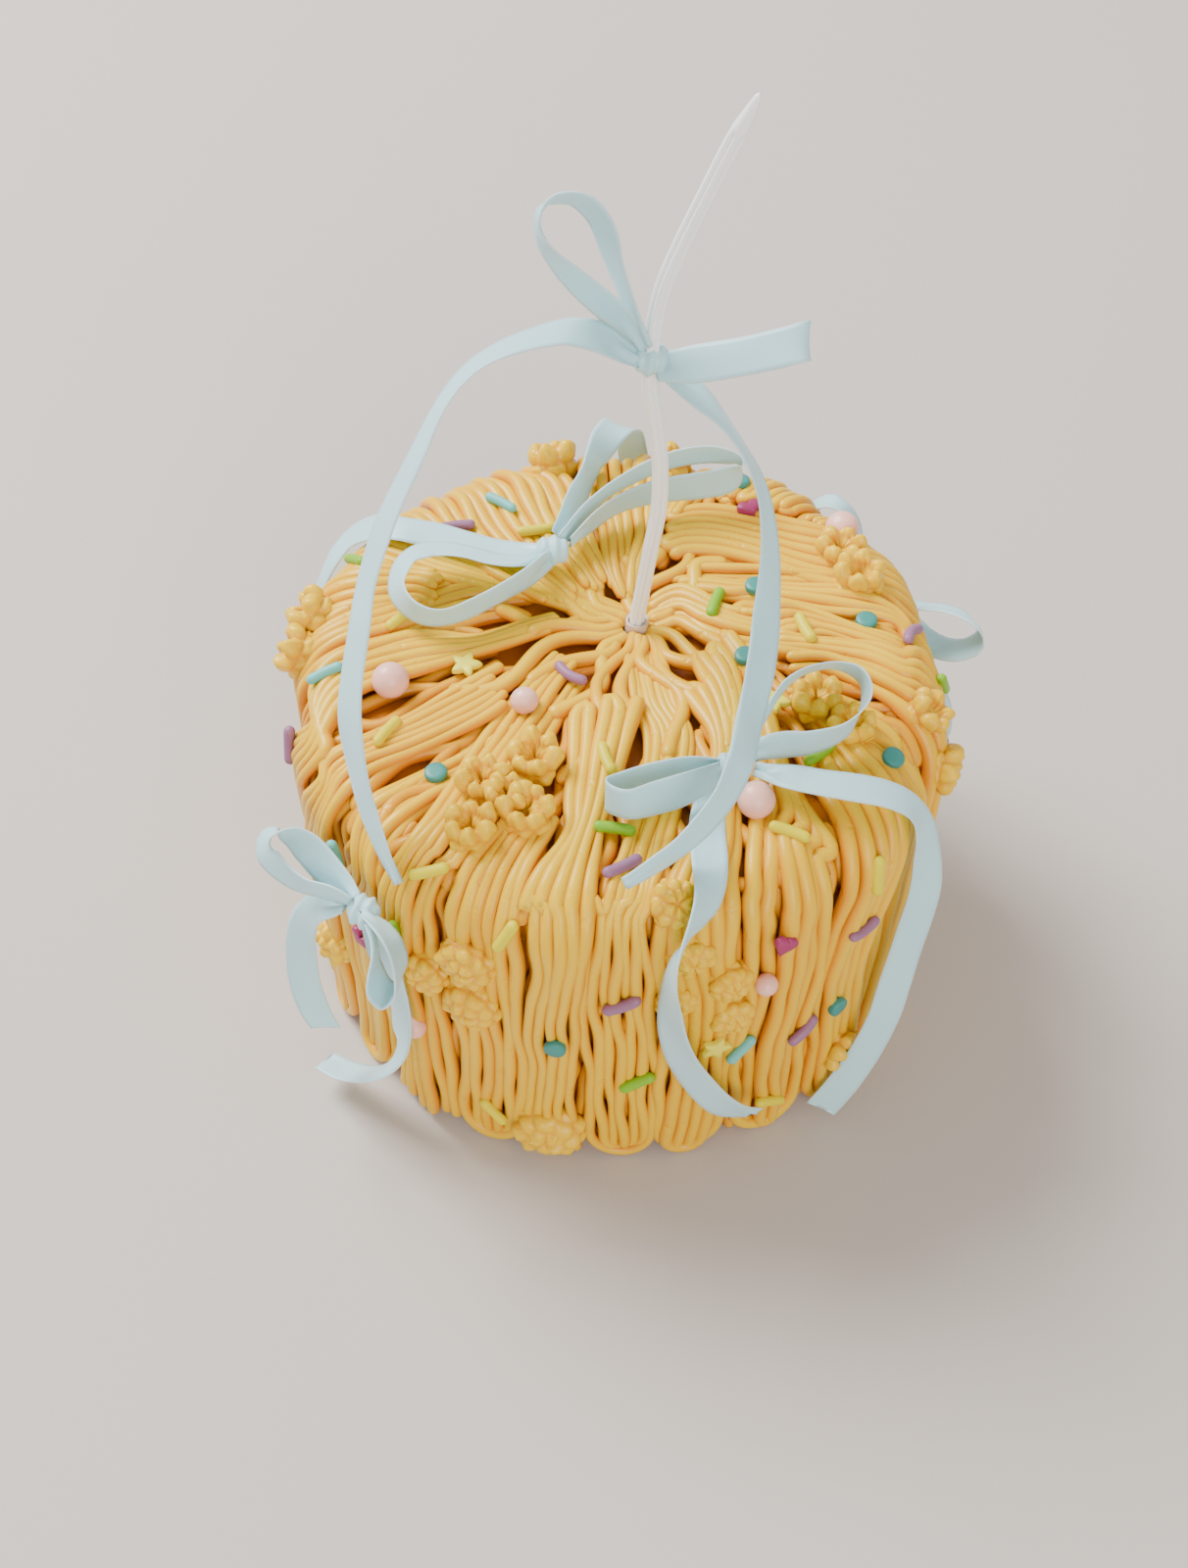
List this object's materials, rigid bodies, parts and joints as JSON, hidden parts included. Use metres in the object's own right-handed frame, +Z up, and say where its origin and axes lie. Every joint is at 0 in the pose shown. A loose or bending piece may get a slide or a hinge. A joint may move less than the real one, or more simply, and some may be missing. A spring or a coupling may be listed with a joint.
{
  "type": "birthday cake with candle",
  "caption": "Round celebration cake dressed in piped buttercream strands, with star rosettes, sugar sprinkles, sugar pearls, satin ribbon bows and a slim wavy candle.",
  "frame": {"origin": "centre of the cake's flat base, on the surface it stands on", "axes": "+Z up along the candle; +Y away from the side the cake is seen from, +X to that view's right"},
  "size_m": [0.1602, 0.1616, 0.2225],
  "materials": {
    "cream": "soft satin buttercream, pale yellow to light orange",
    "ribbon": "pale blue satin with a woven edge",
    "candle": "glossy pearl-white wax",
    "holder": "translucent cup",
    "pearl": "pale pink sugar, satin"
  },
  "bodies": {
    "root": {"cake": "cream", "candle": "candle", "candle_holder": "holder", "pearl_1": "pearl", "pearl_2": "pearl", "pearl_3": "pearl", "pearl_4": "pearl", "pearl_5": "pearl", "pearl_6": "pearl", "pearl_7": "pearl", "pearl_8": "pearl", "bow_candle": "ribbon", "bow_front": "ribbon", "bow_rear": "ribbon", "bow_right": "ribbon", "bow_left": "ribbon", "tail_candle_left": "ribbon", "tail_candle_right": "ribbon", "tail_front_right": "ribbon", "tail_front_down": "ribbon", "tail_rear_left": "ribbon", "tail_rear_back": "ribbon", "tail_right_front": "ribbon", "tail_right_back": "ribbon", "tail_left_outer": "ribbon", "tail_left_down": "ribbon"}
  },
  "joints": []
}
